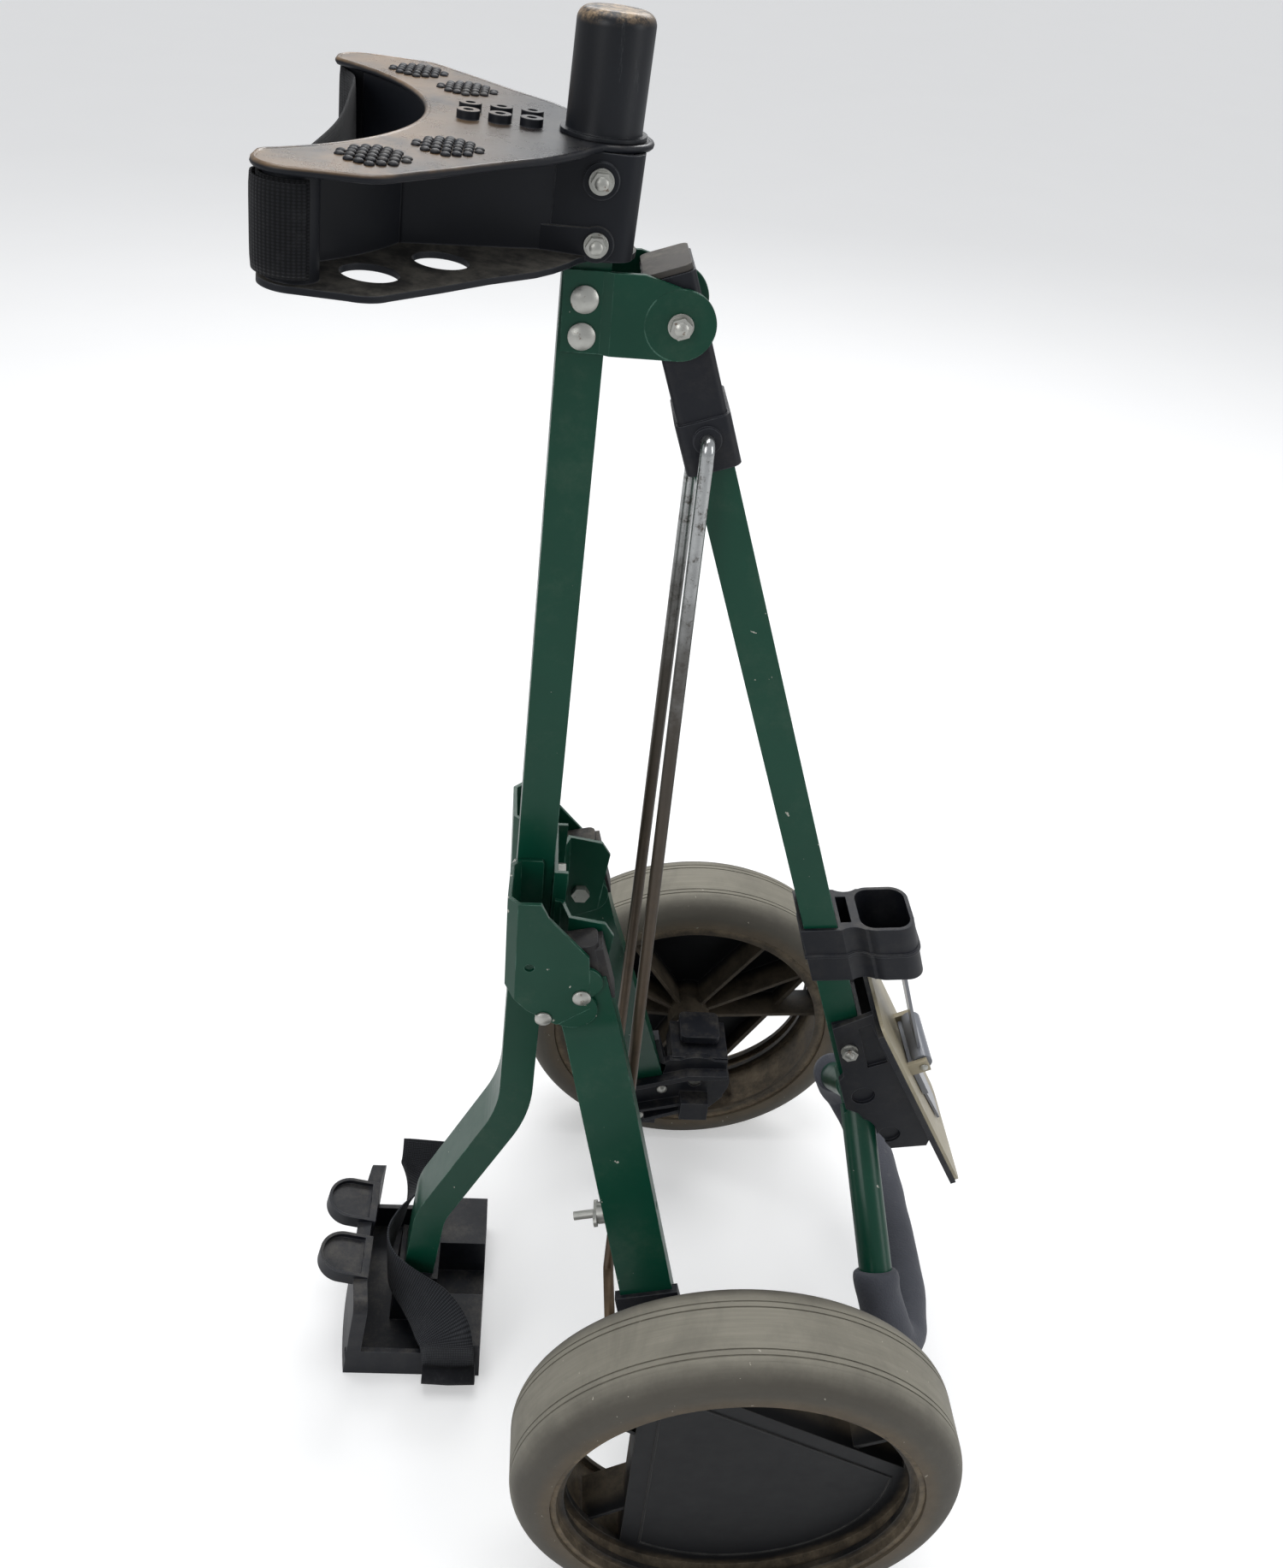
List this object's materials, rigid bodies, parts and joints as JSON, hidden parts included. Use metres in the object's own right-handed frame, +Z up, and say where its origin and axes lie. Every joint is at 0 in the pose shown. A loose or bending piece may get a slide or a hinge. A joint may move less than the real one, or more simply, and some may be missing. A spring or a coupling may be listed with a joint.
{
  "type": "golf push trolley",
  "caption": "Folding golf push trolley: bent upright with fork bracket and foot cradle for the bag, rod-linked folding handle and legs, grip loop and two wide wheels.",
  "frame": {"origin": "on the floor at the centre of the foot cradle's sole, in the trolley's middle plane", "axes": "+Z up, +X to the rear (towards the user and the handle), -X to the bag side, -Y to the user's left; folded pose"},
  "size_m": [0.4869, 0.494, 0.9907],
  "materials": {
    "green_paint": "gloss dark green enamel, scratched at the edges",
    "black_plastic": "satin black moulded plastic with dust",
    "zinc_steel": "zinc-plated steel, slightly dulled",
    "webbing": "woven black webbing",
    "foam": "matt dark grey closed-cell foam",
    "grey_plug": "dusty dark grey plastic",
    "card_plate": "aged beige plastic sheet",
    "clip_plastic": "grey translucent-looking plastic",
    "rusty_rod": "chromed steel rod, bright at the top and rusted brown below",
    "tyre": "grey-beige worn solid tyre",
    "rim_plastic": "black moulded plastic, dusty inside",
    "bush_plastic": "off-white plain bearing plastic"
  },
  "bodies": {
    "frame": {"upright_tube": "green_paint", "upper_bracket": "black_plastic", "post_cap": "black_plastic", "bracket_bolts": "zinc_steel", "hinge_plate_left": "green_paint", "hinge_plate_right": "green_paint", "hinge_rivets": "zinc_steel", "hinge_bolt": "zinc_steel", "mid_web_plate": "green_paint", "outer_ear_left": "green_paint", "outer_ear_right": "green_paint", "inner_ear_left": "green_paint", "inner_ear_right": "green_paint", "web_bolts": "zinc_steel", "ear_bolt": "zinc_steel", "leg_pivot_bolts": "zinc_steel", "stop_pins": "zinc_steel", "lower_cradle": "black_plastic", "cradle_bolt": "zinc_steel", "upper_strap": "webbing", "lower_strap": "webbing"},
    "handle": {"handle_tube": "green_paint", "hinge_sleeve": "black_plastic", "sleeve_plug": "grey_plug", "hinge_bush": "zinc_steel", "grip_loop": "green_paint", "foam_grip": "foam", "accessory_holder": "black_plastic", "accessory_screw": "zinc_steel", "scorecard_frame": "black_plastic", "scorecard_plate": "card_plate", "scorecard_bolt": "zinc_steel", "clip_pin": "zinc_steel"},
    "scorecard_clip": {"scorecard_clip": "clip_plastic"},
    "rod_left": {"rod_left": "rusty_rod"},
    "rod_right": {"rod_right": "rusty_rod"},
    "leg_left": {"leg_left": "green_paint", "leg_plug_left": "black_plastic", "leg_bush_left": "zinc_steel", "hub_bracket_left": "black_plastic", "axle_left": "zinc_steel", "hub_bolts_left": "zinc_steel"},
    "wing_bolt_left": {"wing_bolt_left": "zinc_steel"},
    "release_button_left": {"release_button_left": "black_plastic"},
    "wheel_left": {"tyre_left": "tyre", "rim_left": "rim_plastic", "hub_bush_left": "bush_plastic"},
    "leg_right": {"leg_right": "green_paint", "leg_plug_right": "black_plastic", "leg_bush_right": "zinc_steel", "hub_bracket_right": "black_plastic", "axle_right": "zinc_steel", "hub_bolts_right": "zinc_steel"},
    "wing_bolt_right": {"wing_bolt_right": "zinc_steel"},
    "release_button_right": {"release_button_right": "black_plastic"},
    "wheel_right": {"tyre_right": "tyre", "rim_right": "rim_plastic", "hub_bush_right": "bush_plastic"}
  },
  "joints": [
    {"name": "handle_fold", "type": "hinge", "parent": "frame", "child": "handle", "pos_m": [0.1375, 0, 0.854], "axis": [0, -1, 0], "range_deg": [0, 130]},
    {"name": "scorecard_clip_hinge", "type": "hinge", "parent": "handle", "child": "scorecard_clip", "pos_m": [0.36465, 0, 0.33254], "axis": [0, -1, 0], "range_deg": [0, 12], "stiffness_Nm_per_rad": 0.05, "springref_deg": -11.46},
    {"name": "leg_fold_left", "type": "hinge", "parent": "frame", "child": "leg_left", "pos_m": [0.113, -0.052, 0.428], "axis": [0, -1, 0], "range_deg": [0, 51.86]},
    {"name": "rod_swing_left", "type": "hinge", "parent": "handle", "child": "rod_left", "pos_m": [0.15753, -0.02, 0.79448], "axis": [0, -1, 0], "range_deg": [-111.9, 0]},
    {"name": "wheel_spin_left", "type": "hinge", "parent": "leg_left", "child": "wheel_left", "pos_m": [0.23, -0.212, 0.15], "axis": [0, 1, 0], "continuous": true},
    {"name": "wing_bolt_turn_left", "type": "hinge", "parent": "leg_left", "child": "wing_bolt_left", "pos_m": [0.15745, -0.0941, 0.25361], "axis": [-0.969, 0, -0.247], "continuous": true},
    {"name": "release_press_left", "type": "slide", "parent": "leg_left", "child": "release_button_left", "axis": [0, 0, -1], "range_m": [0, 0.004], "stiffness_N_per_m": 400, "springref_m": -0.002},
    {"name": "leg_fold_right", "type": "hinge", "parent": "frame", "child": "leg_right", "pos_m": [0.113, 0.052, 0.428], "axis": [0, -1, 0], "range_deg": [0, 51.86]},
    {"name": "rod_swing_right", "type": "hinge", "parent": "handle", "child": "rod_right", "pos_m": [0.15753, 0.02, 0.79448], "axis": [0, -1, 0], "range_deg": [-111.9, 0]},
    {"name": "wheel_spin_right", "type": "hinge", "parent": "leg_right", "child": "wheel_right", "pos_m": [0.23, 0.212, 0.15], "axis": [0, 1, 0], "continuous": true},
    {"name": "wing_bolt_turn_right", "type": "hinge", "parent": "leg_right", "child": "wing_bolt_right", "pos_m": [0.15745, 0.0941, 0.25361], "axis": [-0.969, 0, -0.247], "continuous": true},
    {"name": "release_press_right", "type": "slide", "parent": "leg_right", "child": "release_button_right", "axis": [0, 0, -1], "range_m": [0, 0.004], "stiffness_N_per_m": 400, "springref_m": -0.002}
  ],
  "couplings": [
    {"joint": "leg_fold_left", "follows": "handle_fold", "ratio": 0.39885},
    {"joint": "rod_swing_left", "follows": "handle_fold", "ratio": -0.86063},
    {"joint": "leg_fold_right", "follows": "handle_fold", "ratio": 0.39885},
    {"joint": "rod_swing_right", "follows": "handle_fold", "ratio": -0.86063}
  ]
}
